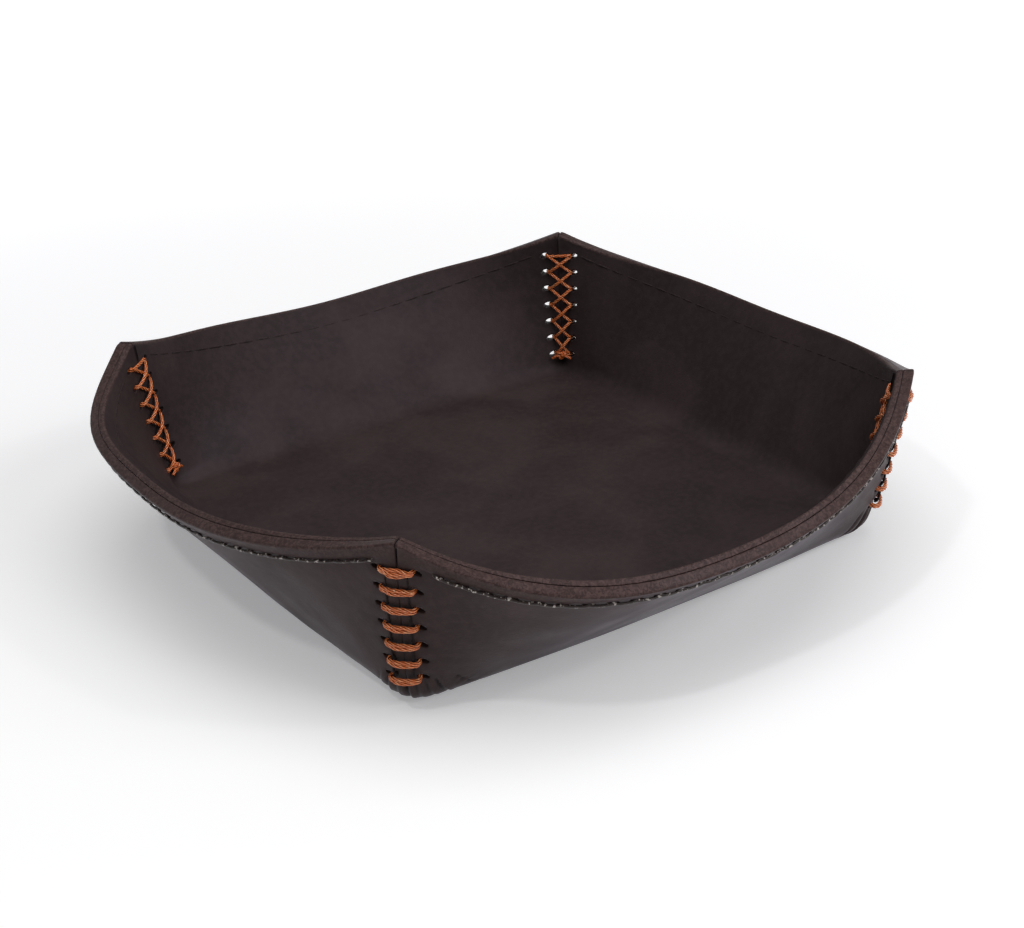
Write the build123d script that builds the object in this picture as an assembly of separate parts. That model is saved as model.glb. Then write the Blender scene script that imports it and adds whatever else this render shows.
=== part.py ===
from build123d import *
from math import atan, cos, pi, radians, sin, sqrt, tan
import os

# A leather valet tray: two glued plies, folded up into four walls that are laced together at the corners.
# X runs along the long side, Y along the short side and Z up. The origin is the middle of the box that the
# tray fills, on the surface that it stands on. All lengths are millimetres.

# Overall size
overall_length = 177.8
overall_width = 152.4
overall_height = 38.1

# Leather and glue
outer_ply = 2.05
lining_ply = 1.15
glue_line = 0.10

# Fold lines of the floor, as distances from the origin
right_fold = 55.7
left_fold = 62.7
side_fold = 55.5

# Outer corner of the rim, as distances from the origin
rim_corner_x = 64.9
rim_corner_y = 57.7

# Height that the rim loses between a corner and the middle of a wall
end_wall_dip = 13.0
long_wall_dip = 10.7

# Shape of the rim between two corners
end_bulge_power_share = 2.9
long_bulge_power_share = 3.1
end_dip_share = 0.29
long_dip_share = 0.50
right_skew_share = 0.12
front_skew_share = 0.20

# Cut of the rim, square to the leather in the middle of a wall and leaning inward at the corners
corner_cut_share = 1.5
corner_cut_power_share = 6

# Bends between floor and walls, and rounding of the corners in plan
corner_bend = 5.0
middle_bend = 11.0
foot_round = 7.5
top_round = 1.0
least_round = 0.3

# Butt seams at the corners
seam_gap = 0.20
seam_foot = 4.0

# Corner laces
lace_thread = 0.90
lace_lane = 1.0
lace_clearance = 0.20
lace_hole = 2.2
hole_lean_share = 0.5
lace_inset = 3.6
lace_rows = 7
lace_start = 5.9
lace_pitch = 4.14
lace_mouth_bend = 0.75
lace_seam_bend = 2.5
lace_bend_share = 0.45
lace_tail_share = 0.75

# Machine seams
seam_thread = 0.60
seam_inset = 3.0
seam_end_gap = 4.5
edge_seam_inset = 2.2
stitch_pitch = 4.4
stitch_length_share = 0.84
stitch_end_share = 0.45
stitch_clearance = 0.12

# Cutting room past a surface
overrun = 6.0

wall = outer_ply + glue_line + lining_ply
top_height = overall_height + glue_line

# Fineness of the surfaces and of the searches along them
side_steps = 16
bend_steps = 5
wall_steps = 5
search_steps = 4
seam_steps = 400


class Wall:
    """One wall, by its outward and its running direction, seen from above and going round to the left."""

    def __init__(self, name, out, fold, rim_corner, bulge, power, dip, dip_share, skew_share):
        self.name = name
        self.out = Vector(*out, 0)
        self.run = Vector(-out[1], out[0], 0)
        self.fold = fold
        self.rim_corner = rim_corner
        self.bulge = bulge
        self.power = power
        self.dip = dip
        self.dip_share = dip_share
        self.skew_share = skew_share
        self.before = None
        self.after = None

    def skewed(self, t):
        return t + self.skew_share * (1 - t * t)

    def rim(self, t):
        """Distance from the origin and height of the rim's outer edge, t going from -1 to 1."""
        q = self.skewed(t)
        reach = self.rim_corner + self.bulge * (1 - abs(q) ** self.power)
        height = overall_height - self.dip * (1 - q * q) / (1 - self.dip_share * q * q)
        return reach, height

    def slope(self, t):
        reach, height = self.rim(t)
        return (reach - self.fold) / height

    def flat_point(self, t, z):
        """Point of the wall's outer face at height z, as if it met the floor at a sharp fold."""
        first = -(self.before.fold + z * self.before.slope(1))
        last = self.after.fold + z * self.after.slope(-1)
        along = first + (last - first) * (t + 1) / 2
        return self.out * (self.fold + z * self.slope(t)) + self.run * along + Vector(0, 0, z)

    def level_frame(self, t, z):
        """Direction along the wall and outwards at height z, and how fast the face moves out with height."""
        step = 1 / (side_steps * side_steps)
        tangent = (self.flat_point(t + step, z) - self.flat_point(t - step, z)).normalized()
        outward = Vector(tangent.Y, -tangent.X, 0)
        rise = step * overall_height
        climb = (self.flat_point(t, z + rise) - self.flat_point(t, z - rise)).dot(outward) / (2 * rise)
        return tangent, outward, climb

    def inset(self, t, z, depth):
        """Level distance from the sharp-folded outer face to the face that lies depth inside the leather."""
        tangent, outward, climb = self.level_frame(t, z)
        lean = atan(self.slope(t))
        share = 1 - min(1, abs(t)) ** self.power
        bend = corner_bend + (middle_bend - corner_bend) * share
        radius = bend - depth
        if z < bend - radius * sin(lean):
            centre = self.fold - bend * tan((pi / 2 - lean) / 2)
            arc = centre + sqrt(max(0, radius ** 2 - (bend - z) ** 2))
            return self.fold + z * self.slope(t) - arc
        return depth * sqrt(1 + climb ** 2)

    def seam_lead(self, t, z):
        """Travel along the wall for one unit of inset, so that two walls keep meeting at their seam."""
        end = 1 if t > 0 else -1
        beside = self.after if t > 0 else self.before
        tangent, outward, climb = self.level_frame(end, z)
        seam = (self.out + beside.out).normalized()
        return -abs(t) * seam.dot(tangent) / seam.dot(outward)

    def point(self, t, z, depth):
        """Point at height z on the face that lies depth inside the leather."""
        tangent, outward, climb = self.level_frame(t, z)
        inset = self.inset(t, z, depth)
        return self.flat_point(t, z) - outward * inset + tangent * (inset * self.seam_lead(t, z))

    def face_direction(self, t, z, depth):
        """Direction along the wall, at height z, of the face that lies depth inside the leather."""
        step = 1 / (side_steps * side_steps)
        return (self.point(t + step, z, depth) - self.point(t - step, z, depth)).normalized()

    def half_run(self, z):
        return (self.flat_point(1, z) - self.flat_point(-1, z)).length / 2

    def square_out(self, t, z):
        """Direction square to the outer face at height z."""
        tangent, outward, climb = self.level_frame(t, z)
        return (outward - Vector(0, 0, climb)).normalized()


end_bulge = overall_length / 2 - rim_corner_x
long_bulge = overall_width / 2 - rim_corner_y
end_shape = (end_bulge, end_bulge_power_share, end_wall_dip, end_dip_share)
long_shape = (long_bulge, long_bulge_power_share, long_wall_dip, long_dip_share)
walls = [
    Wall("right", (1, 0), right_fold, rim_corner_x, *end_shape, right_skew_share),
    Wall("back", (0, 1), side_fold, rim_corner_y, *long_shape, 0),
    Wall("left", (-1, 0), left_fold, rim_corner_x, *end_shape, 0),
    Wall("front", (0, -1), side_fold, rim_corner_y, *long_shape, front_skew_share),
]
for number, each in enumerate(walls):
    each.before = walls[number - 1]
    each.after = walls[(number + 1) % len(walls)]


def corner_round(z, inset):
    """Length that the rounding takes off each wall at a corner."""
    full = foot_round + (top_round - foot_round) * z / overall_height
    return max(full - inset, least_round)


def outline(z, depth):
    """Closed level outline of the tray at height z, on the face that lies depth inside the leather."""
    places = [-cos(n * pi / side_steps) for n in range(side_steps + 1)]
    shares = [(place + 1) / 2 for place in places]
    sides = []
    directions = []
    corners = []
    for each in walls:
        first = corner_round(z, each.inset(-1, z, depth)) / each.half_run(z) - 1
        last = 1 - corner_round(z, each.inset(1, z, depth)) / each.half_run(z)
        half = (last - first) / 2
        sides.append([each.point(first + half * (1 + place), z, depth) for place in places])
        directions.append([each.face_direction(t, z, depth) for t in (first, last)])
        corners.append((each.point(1, z, depth) + each.after.point(-1, z, depth)) / 2)
    edges = []
    for number, points in enumerate(sides):
        edges.append(Edge.make_spline(points, tangents=directions[number], parameters=shares))
        follower = sides[(number + 1) % len(sides)][0]
        edges.append(Edge.make_bezier(points[-1], corners[number], follower))
    return Wire(edges)


def block(depth, top):
    """Solid that fills the tray up to a level top, to the face that lies depth inside the leather."""
    levels = [depth + corner_bend * (1 - cos(n * pi / 2 / bend_steps)) for n in range(bend_steps)]
    start = depth + corner_bend
    levels += [start + (top - start) * n / wall_steps for n in range(wall_steps + 1)]
    return Solid.make_loft([outline(z, depth) for z in levels])


def rim_cutter(each):
    """Everything above one wall's rim."""
    inner_points = []
    outer_points = []
    end = 1 + seam_gap / each.half_run(overall_height) / 4
    for n in range(2 * side_steps + 1):
        t = end * (n / side_steps - 1)
        reach, z = each.rim(t)
        tangent, outward, climb = each.level_frame(t, z)
        lead = tangent * each.seam_lead(t, z)
        fall = climb * (1 - corner_cut_share * min(1, abs(t)) ** corner_cut_power_share)
        across = (outward - lead - Vector(0, 0, fall)) / sqrt(1 + climb ** 2)
        edge = each.flat_point(t, z)
        outer_points.append(edge + across * overall_height)
        inner_points.append(edge - across * (wall + overrun))
    face = Face.make_surface_from_curves(Edge.make_spline(inner_points), Edge.make_spline(outer_points))
    return Solid.extrude(face, Vector(0, 0, 2 * overall_height))


def seam_cutter(each):
    """Thin slot between one wall and the next."""
    seam = (each.out + each.after.out).normalized()
    foot = each.flat_point(1, overall_height / 2)
    place = Plane(origin=(foot.X, foot.Y, seam_foot), x_dir=seam, z_dir=(0, 0, 1))
    length = 4 * (wall + overrun)
    return place * Box(length, seam_gap, overall_height * 2, align=(Align.CENTER, Align.CENTER, Align.MIN))


def place_from_seam(each, end, z, distance):
    """Place along a wall, at height z, that lies this far from the seam at its end."""
    seam_point = each.flat_point(end, z)
    off = distance / each.half_run(z)
    for _ in range(search_steps):
        off *= distance / (each.flat_point(end * (1 - off), z) - seam_point).length
    return end * (1 - off)


def rows():
    top_row = overall_height - lace_start
    return [top_row - n * lace_pitch for n in range(lace_rows)]


def hole_at(each, end, z):
    """Outer mouth of a lace hole and its way out of the leather, for one unit of depth.

    The hole leans, so that it stays as far from the inner corner as the bent leather allows.
    """
    t = place_from_seam(each, end, z, lace_inset)
    tangent, outward, climb = each.level_frame(t, z)
    lean = tangent * (hole_lean_share * each.seam_lead(end, z))
    return each.point(t, z, 0), each.square_out(t, z) - lean


def hole_cutter(each, end, z):
    mouth, direction = hole_at(each, end, z)
    start = mouth - direction * (wall + overrun / 2)
    return Solid.make_cylinder(lace_hole / 2, wall + 2 * overrun, Plane(origin=start, z_dir=direction))


def ridge_point(each, z):
    """Point of a lace bar where it passes the butt seam, outside the rounded corner."""
    seam = (each.out + each.after.out).normalized()
    corner = (each.flat_point(1, z) + each.after.flat_point(-1, z)) / 2
    square = min(seam.dot(each.square_out(1, z)), seam.dot(each.after.square_out(-1, z)))
    rounding = corner_round(z, 0) * sqrt(1 - square ** 2) / 2
    lift = (lace_thread / 2 + lace_clearance) / square + lace_seam_bend * (1 / square - 1)
    return corner + seam * (lift - rounding)


def lace_pass(first, first_end, second, second_end, z, lane, ridge):
    """One strand's trip out of the first wall, across the seam outside and back in through the second wall.

    Each point comes with the largest bend that the strand may make there.
    """
    lift = Vector(0, 0, lane)
    float_height = lace_thread / 2 + lace_clearance
    first_mouth, first_out = hole_at(first, first_end, z)
    second_mouth, second_out = hole_at(second, second_end, z)
    return [
        (first_mouth - first_out * (wall + float_height) + lift, lace_mouth_bend),
        (first_mouth + first_out * float_height + lift, lace_mouth_bend),
        (ridge + lift, lace_seam_bend),
        (second_mouth + second_out * float_height + lift, lace_mouth_bend),
        (second_mouth - second_out * (wall + float_height) + lift, lace_mouth_bend),
    ]


def lace_route(each):
    """Points of one corner's lace, from one end, up over the top and down to the other end."""
    after = each.after
    seam = (each.out + after.out).normalized()
    over = []
    under = []
    for z in rows():
        ridge = ridge_point(each, z)
        over.append(lace_pass(each, 1, after, -1, z, lace_lane / 2, ridge))
        under.append(lace_pass(after, -1, each, 1, z, -lace_lane / 2, ridge))
    first_half = []
    for trip in over:
        first_half += trip
    second_half = list(under[0])
    for upper, lower in zip(under, under[1:]):
        crossing = (upper[-1][0] + lower[0][0]) / 2 - seam * lace_lane
        second_half.append((crossing, lace_seam_bend))
        second_half += lower
    first_end = over[-1][-1][0]
    second_end = under[-1][-1][0]
    middle = (first_end + second_end) / 2
    first_tail = first_end + (middle - first_end) * lace_tail_share
    second_tail = second_end + (middle - second_end) * lace_tail_share
    return [(first_tail, 0)] + first_half[::-1] + second_half + [(second_tail, 0)]


def tube(route, diameter):
    """Round cord along straight runs and tangent arcs through the points of its route."""
    points = [place for place, bend in route]
    radii = []
    for n in range(1, len(points) - 1):
        first_run = points[n] - points[n - 1]
        second_run = points[n + 1] - points[n]
        turn = radians(first_run.get_angle(second_run))
        room = lace_bend_share * min(first_run.length, second_run.length) / tan(turn / 2)
        radii.append(min(room, route[n][1]))
    path = FilletPolyline(*points, radius=radii)
    start = Plane(origin=path @ 0, z_dir=path % 0)
    body = sweep(start * Circle(diameter / 2), path=path)
    expected = pi * diameter ** 2 / 4 * path.length
    print("cord length", round(path.length, 1), "volume share", round(body.volume / expected, 4))
    print("bends from", round(min(radii), 2), "to", round(max(radii), 2))
    return body


def stitch(length):
    """One machine stitch, lying along Z."""
    rod = Solid.make_cylinder(seam_thread / 2, length).moved(Location((0, 0, -length / 2)))
    return rod.fillet(seam_thread * stitch_end_share, rod.edges().filter_by(GeomType.CIRCLE))


def seam_stitches(line, holes, length):
    """Stitches between neighbouring needle holes, lifted clear of the face that the line of places runs on."""
    shape = stitch(length)
    stitches = []
    for first, last in zip(holes, holes[1:]):
        start, start_out = line[first]
        finish, finish_out = line[last]
        outward = (start_out + finish_out).normalized()
        middle = (start + finish) / 2
        bulge = max((place - middle).dot(outward) for place, out in line[first:last])
        lift = outward * (max(bulge, 0) + seam_thread / 2 + stitch_clearance)
        stitches.append(Plane(origin=middle + lift, z_dir=finish - start).location * shape)
    return Compound(children=stitches)


def rim_seam(each, depth, side):
    """Machine seam below the rim of one wall, on its outer or its inner face."""
    line = []
    for n in range(seam_steps + 1):
        t = (2 * n / seam_steps - 1) * (1 - seam_end_gap / each.half_run(overall_height))
        reach, top = each.rim(t)
        tangent, outward, climb = each.level_frame(t, top)
        z = top - seam_inset / sqrt(1 + climb ** 2)
        line.append((each.point(t, z, depth), each.square_out(t, z) * side))
    travelled = [0]
    for before, here in zip(line, line[1:]):
        travelled.append(travelled[-1] + (here[0] - before[0]).length)
    count = round(travelled[-1] / stitch_pitch)
    holes = []
    for n in range(count + 1):
        goal = travelled[-1] * n / count
        holes.append(min(range(seam_steps + 1), key=lambda m: abs(travelled[m] - goal)))
    return seam_stitches(line, holes, stitch_pitch * stitch_length_share)


def edge_seam(each, end):
    """Machine seam beside a corner's butt seam, seen between the lace's bars."""
    heights = rows()
    shape_length = lace_pitch - lace_lane - lace_thread - 2 * lace_clearance
    shape = stitch(shape_length)
    stitches = []
    for upper, lower in zip(heights, heights[1:]):
        z = (upper + lower) / 2
        t = place_from_seam(each, end, z, edge_seam_inset)
        out = each.square_out(t, z)
        start = each.point(place_from_seam(each, end, upper, edge_seam_inset), upper, 0)
        finish = each.point(place_from_seam(each, end, lower, edge_seam_inset), lower, 0)
        middle = each.point(t, z, 0) + out * (seam_thread / 2 + stitch_clearance)
        stitches.append(Plane(origin=middle, z_dir=finish - start).location * shape)
    return Compound(children=stitches)


os.makedirs("parts", exist_ok=True)

# Leather, cut along the rims, at the corner seams and for the laces
outer_leather = block(0, top_height) - block(outer_ply, top_height + overrun)
lining_leather = block(outer_ply + glue_line, top_height) - block(wall, top_height + overrun)
cutters = [rim_cutter(each) for each in walls] + [seam_cutter(each) for each in walls]
for each in walls:
    for z in rows():
        cutters.append(hole_cutter(each, 1, z))
        cutters.append(hole_cutter(each, -1, z))
export_step(outer_leather - cutters, "parts/outer_leather.step")
export_step(lining_leather - cutters, "parts/lining_leather.step")

# Laces and seams
for each in walls:
    after = each.after
    export_step(tube(lace_route(each), lace_thread), "parts/lace_" + each.name + "_" + after.name + ".step")
    export_step(rim_seam(each, 0, 1), "parts/needle_seam_" + each.name + ".step")
    export_step(rim_seam(each, wall, -1), "parts/bobbin_seam_" + each.name + ".step")
    export_step(edge_seam(each, 1), "parts/edge_seam_" + each.name + "_to_" + after.name + ".step")
    export_step(edge_seam(after, -1), "parts/edge_seam_" + after.name + "_to_" + each.name + ".step")
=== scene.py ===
# %% [markdown]
# # A laced leather valet tray
# The tray is one flat blank of thick leather with a thin lining glued to it. Four walls are folded up and laced
# together at the corners. The imported solids give every size and place, and this script dresses them: finer
# leather, twisted threads, a knot in each lace, worn edges, colours, and painted shade and highlights.
# Everything is worked out in millimetres and turned into metres when a mesh is filled.

import math
import bpy
import numpy as np
from mathutils import Matrix, Vector, kdtree


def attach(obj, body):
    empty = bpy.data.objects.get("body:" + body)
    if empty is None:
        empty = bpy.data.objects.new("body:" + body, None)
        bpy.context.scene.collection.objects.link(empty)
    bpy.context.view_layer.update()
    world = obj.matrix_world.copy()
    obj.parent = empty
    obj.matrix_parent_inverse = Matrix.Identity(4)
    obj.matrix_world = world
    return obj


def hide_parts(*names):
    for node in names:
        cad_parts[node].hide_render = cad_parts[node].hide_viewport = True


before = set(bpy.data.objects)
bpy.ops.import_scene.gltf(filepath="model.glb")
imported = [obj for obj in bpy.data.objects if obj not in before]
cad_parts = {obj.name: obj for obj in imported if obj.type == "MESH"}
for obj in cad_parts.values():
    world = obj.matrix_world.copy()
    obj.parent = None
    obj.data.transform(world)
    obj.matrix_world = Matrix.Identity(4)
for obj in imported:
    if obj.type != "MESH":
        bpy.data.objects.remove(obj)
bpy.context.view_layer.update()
bpy.ops.object.select_all(action="DESELECT")
print("packed nodes:", len(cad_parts))

# %% [markdown]
# ## The shape of a wall
# Leather of this thickness bends in one direction only. So each wall is a straight sheet: from every place of
# its fold line it runs straight up to the rim, which bulges out and dips between two corners. It could be
# pulled out of a plane with proportional editing, but a formula keeps the walls straight and follows the
# solids. The four walls come in the order of the solids: right, back, left and front. A place along a wall is
# called t and goes from -1 at its first corner to 1 at its last.

# %% Sizes of the leather
tray_height = 38.1
outer_ply = 2.05
glue_line = 0.10
lining_ply = 1.15
whole_wall = outer_ply + glue_line + lining_ply
lining_start = outer_ply + glue_line
floor_centre_x = -3.5
end_shape = dict(corner=64.9, bulge=24.0, power=2.9, dip=13.0, dip_share=0.29)
long_shape = dict(corner=57.7, bulge=18.5, power=3.1, dip=10.7, dip_share=0.50)
corner_bend = 5.0
middle_bend = 11.0
foot_round = 7.5
top_round = 1.0
least_round = 0.3
UP = np.array([0, 0, 1.0])


def make_wall(name, out, fold, skew, shape):
    out = np.array([*out, 0.0])
    return dict(name=name, out=out, run=np.cross(UP, out), fold=fold, skew=skew, **shape)


walls = [
    make_wall("right", (1, 0), 55.7, 0.12, end_shape),
    make_wall("back", (0, 1), 55.5, 0.0, long_shape),
    make_wall("left", (-1, 0), 62.7, 0.0, end_shape),
    make_wall("front", (0, -1), 55.5, 0.20, long_shape),
]
for number, wall in enumerate(walls):
    wall["before"] = walls[number - 1]
    wall["after"] = walls[(number + 1) % 4]
print("wall thickness:", round(whole_wall, 2), "mm, rim at the corners:", tray_height, "mm high")


# %% The rim and the straight outer face of a wall
def dot(a, b):
    return np.sum(a * b, axis=-1)


def unit(a):
    return a / np.linalg.norm(a, axis=-1, keepdims=True)


def rim(wall, t):
    q = t + wall["skew"] * (1 - t * t)
    reach = wall["corner"] + wall["bulge"] * (1 - np.abs(q) ** wall["power"])
    height = tray_height - wall["dip"] * (1 - q * q) / (1 - wall["dip_share"] * q * q)
    return reach, height


def slope(wall, t):
    reach, height = rim(wall, t)
    return (reach - wall["fold"]) / height


def flat_point(wall, t, z):
    """A place on the straight outer face, before its foot is rounded."""
    t, z = np.broadcast_arrays(np.asarray(t, float), np.asarray(z, float))
    first = -(wall["before"]["fold"] + z * slope(wall["before"], 1.0))
    last = wall["after"]["fold"] + z * slope(wall["after"], -1.0)
    along = first + (last - first) * (t + 1) / 2
    outward = wall["fold"] + z * slope(wall, t)
    place = outward[..., None] * wall["out"] + along[..., None] * wall["run"]
    return place + z[..., None] * UP


for wall in walls:
    print(wall["name"], "rim at its middle: reach and height", [round(float(v), 1) for v in rim(wall, 0.0)])


# %% Directions on a wall, and the faces inside its leather
STEP = 1 / 256


def directions(wall, t, z):
    tangent = unit(flat_point(wall, t + STEP, z) - flat_point(wall, t - STEP, z))
    outward = np.stack([tangent[..., 1], -tangent[..., 0], np.zeros(tangent.shape[:-1])], axis=-1)
    rise = STEP * tray_height
    climb = dot(flat_point(wall, t, z + rise) - flat_point(wall, t, z - rise), outward) / (2 * rise)
    return tangent, outward, climb


def inset(wall, t, z, depth):
    """How far inside the straight outer face another face lies, also round the fold."""
    climb = directions(wall, t, z)[2]
    lean = np.arctan(slope(wall, t))
    bend = corner_bend + (middle_bend - corner_bend) * (1 - np.minimum(1, np.abs(t)) ** wall["power"])
    radius = bend - depth
    centre = wall["fold"] - bend * np.tan((math.pi / 2 - lean) / 2)
    arc = centre + np.sqrt(np.maximum(0, radius**2 - (bend - z) ** 2))
    folded = wall["fold"] + z * slope(wall, t) - arc
    return np.where(z < bend - radius * np.sin(lean), folded, depth * np.sqrt(1 + climb**2))


def seam_lead(wall, t, z):
    """How far a place moves along the wall for each step inward, so that the corner stays mitred."""
    lead = 0
    for end, beside in ((1.0, wall["after"]), (-1.0, wall["before"])):
        tangent, outward, _ = directions(wall, np.full_like(z, end), z)
        seam = unit(wall["out"] + beside["out"])
        lead = lead + np.where(t * end > 0, -np.abs(t) * dot(tangent, seam) / dot(outward, seam), 0)
    return lead


def face_point(wall, t, z, depth):
    t, z = np.broadcast_arrays(np.asarray(t, float), np.asarray(z, float))
    tangent, outward, _ = directions(wall, t, z)
    off = inset(wall, t, z, depth)[..., None]
    return flat_point(wall, t, z) - outward * off + tangent * off * seam_lead(wall, t, z)[..., None]


def square_out(wall, t, z):
    _, outward, climb = directions(wall, np.asarray(t, float), np.asarray(z, float))
    return unit(outward - np.asarray(climb)[..., None] * UP)


corner_cut_share = 1.5
corner_cut_power = 6


def top_of(wall, t, depth):
    """Height of the cut edge, and how much longer the wall is than it is high."""
    height = rim(wall, t)[1]
    climb = directions(wall, t, height)[2]
    steep = np.sqrt(1 + climb**2)
    fall = climb * (1 - corner_cut_share * np.minimum(1, np.abs(t)) ** corner_cut_power)
    return height + depth * fall / steep, steep


print("right wall, 25 mm up, at its middle:", face_point(walls[0], 0.0, 25.0, 0.0).round(2))

# %% [markdown]
# ## From walls to rings
# A ply of leather is drawn as rings that all have the same number of points: small rings on the underside of
# the floor, round the bend, up the outside, over the cut edge, down the inside and over the floor again. A
# plain box with a subdivision modifier would give even squares. Rings can stand close together where the
# photograph shows detail, at the laced corners and along the rim, and wide apart everywhere else.

# %% One ring around the tray
at_joint = [0, 0.06, 0.12, 0.2, 0.3, 0.42, 0.56, 0.72, 0.9, 1.1]
at_holes = np.arange(1.4, 8.2, 0.33)
past_holes = [8.6, 9.3, 10.2, 11.3, 12.6, 14.2]
near = np.concatenate([at_joint, at_holes, past_holes])
middle_columns = np.linspace(0, 1, 34)[1:-1]
columns_per_wall = 2 * len(near) + len(middle_columns) - 1
columns = 4 * columns_per_wall
spread = -np.cos(np.linspace(0, math.pi, 141))
half_arc = 6
quarter = np.linspace(0, 1, 2 * half_arc + 1)[:, None]


def corner_round(z, off):
    return np.maximum(foot_round + (top_round - foot_round) * z / tray_height - off, least_round)


def half_length(wall, z):
    return np.linalg.norm(flat_point(wall, 1.0, z) - flat_point(wall, -1.0, z)) / 2


def travelled(line):
    """How far each point of a line lies from its start."""
    return np.concatenate([[0], np.cumsum(np.linalg.norm(np.diff(line, axis=0), axis=1))])


def read_at(line, stops):
    """The points of a line at the given lengths from its start."""
    length = travelled(line)
    return np.stack([np.interp(stops, length, line[:, k]) for k in range(3)], axis=1)


def corner_curve(start, corner, finish):
    """A quarter round from start to finish that touches both walls."""
    return start * (1 - quarter) ** 2 + 2 * corner * quarter * (1 - quarter) + finish * quarter**2


def ring(height_of, depth):
    """Ring of points, at a height that may change along a wall, on the face that lies depth inside."""
    runs, ends = [], []
    for wall in walls:
        low = [height_of(wall, np.array([e])) for e in (-1.0, 1.0)]
        half_run = [half_length(wall, z[0]) for z in low]
        cut = [
            corner_round(z[0], inset(wall, np.array([e]), z, depth)[0]) / half
            for e, z, half in zip((-1.0, 1.0), low, half_run)
        ]
        t = -1 + cut[0] + (2 - cut[0] - cut[1]) * (1 + spread) / 2
        runs.append(face_point(wall, t, height_of(wall, t), depth))
        ends.append([face_point(wall, np.array([e]), z, depth)[0] for e, z in zip((-1.0, 1.0), low)])
    places = []
    for n in range(4):
        following = (n + 1) % 4
        arrive = corner_curve(runs[n - 1][-1], (ends[n - 1][1] + ends[n][0]) / 2, runs[n][0])
        leave = corner_curve(runs[n][-1], (ends[n][1] + ends[following][0]) / 2, runs[following][0])
        line = np.concatenate([arrive[half_arc:-1], runs[n], leave[1 : half_arc + 1]])
        full = travelled(line)[-1]
        inner = near[-1] + (full - 2 * near[-1]) * middle_columns
        places.append(read_at(line, np.concatenate([near, inner, full - near[:0:-1]])))
    return np.concatenate(places)


def level(z):
    return lambda wall, t: np.full_like(t, z)


def below_top(depth, drop):
    def height(wall, t):
        top, steep = top_of(wall, t, depth)
        return top - drop / steep

    return height


def between(depth, low, drop, share):
    upper = below_top(depth, drop)
    return lambda wall, t: low + (upper(wall, t) - low) * share


print("columns:", columns)

# %% A ply as a stack of rings
seam_drops = [5.0, 4.3, 3.8, 3.5, 3.3, 3.15, 3.0, 2.85, 2.7, 2.5, 2.2, 1.8, 1.4, 1.0, 0.75]
hidden_drop = 0.8
bend_height = 5.0


def face_rings(depth, wall_rows, fine=True):
    """Rings of one face from the floor upwards. The seen faces get more of them, also along the seam."""
    bend_rows = 11 if fine else 6
    turns = [n * math.pi / 2 / bend_rows for n in range(bend_rows)]
    rings = [ring(level(depth + bend_height * (1 - math.cos(turn))), depth) for turn in turns]
    last_drop = seam_drops[0] if fine else hidden_drop
    shares = [n / wall_rows for n in range(wall_rows + 1)]
    rings += [ring(between(depth, depth + bend_height, last_drop, share), depth) for share in shares]
    if fine:
        rings += [ring(below_top(depth, drop), depth) for drop in seam_drops[1:]]
    return rings


def edge_rings(first, last, first_round, last_round):
    """Rings over the cut edge of a ply, from depth first to depth last, with a worn arris on both sides."""
    edge = []
    for angle in np.linspace(0, math.pi / 2, 6):
        edge.append((first + first_round * (1 - math.cos(angle)), first_round * (1 - math.sin(angle))))
    for share in (0.25, 0.5, 0.75):
        edge.append((first + first_round + (last - last_round - first - first_round) * share, 0))
    for angle in np.linspace(math.pi / 2, 0, 5):
        edge.append((last - last_round * (1 - math.cos(angle)), last_round * (1 - math.sin(angle))))
    return [ring(below_top(depth, drop), depth) for depth, drop in edge]


def floor_rings(start, shares):
    """Smaller and smaller copies of the ring where the floor meets the bend."""
    middle = np.array([floor_centre_x, 0.0, start[0, 2]])
    return [middle + (start - middle) * share for share in shares]


coarse_floor = [0.9, 0.5, 0.0]
fine_floor = [0.995, 0.985, 0.965, 0.94, 0.9, 0.84, 0.77, 0.69, 0.6, 0.5, 0.4, 0.3, 0.2, 0.1, 0.04, 0.0]
seen_rows, hidden_rows = 42, 8
outer_up = face_rings(0.0, seen_rows)
outer_edge = edge_rings(0.0, outer_ply, 0.45, 0.16)
outer_down = face_rings(outer_ply, hidden_rows, fine=False)[::-1]
outer_rows = floor_rings(outer_up[0], fine_floor)[::-1] + outer_up + outer_edge
outer_rows += outer_down + floor_rings(outer_down[-1], coarse_floor)
lining_up = face_rings(whole_wall, seen_rows)
lining_edge = edge_rings(lining_start, whole_wall, 0.14, 0.35)
lining_down = face_rings(lining_start, hidden_rows, fine=False)
lining_rows = floor_rings(lining_down[0], coarse_floor)[::-1] + lining_down + lining_edge
lining_rows += lining_up[::-1] + floor_rings(lining_up[0], fine_floor)
print("rings:", len(outer_rows), "outer,", len(lining_rows), "lining")

# %% [markdown]
# ## Where the lace goes
# The solids have seven lace holes on each side of a corner. A saddler makes them with an awl: a slanted slit,
# a little longer than the thread needs, so that its outer end stays open and lets light through. Each hole
# leans, so that it stays away from the inner corner: its way is the direction that a thread takes through the
# leather. The places are worked out before anything is cut, because the dimples, the slits and the laces all
# need them.

# %% Holes of the laces
first_row_drop = 5.9
row_pitch = 4.14
lace_rows = [tray_height - first_row_drop - n * row_pitch for n in range(7)]
lace_inset = 3.6
hole_lean = 0.5


def place_from_seam(wall, end, z, distance):
    seam_point = flat_point(wall, end, z)
    off = distance / half_length(wall, z)
    for _ in range(4):
        off *= distance / np.linalg.norm(flat_point(wall, end * (1 - off), z) - seam_point)
    return end * (1 - off)


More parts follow.
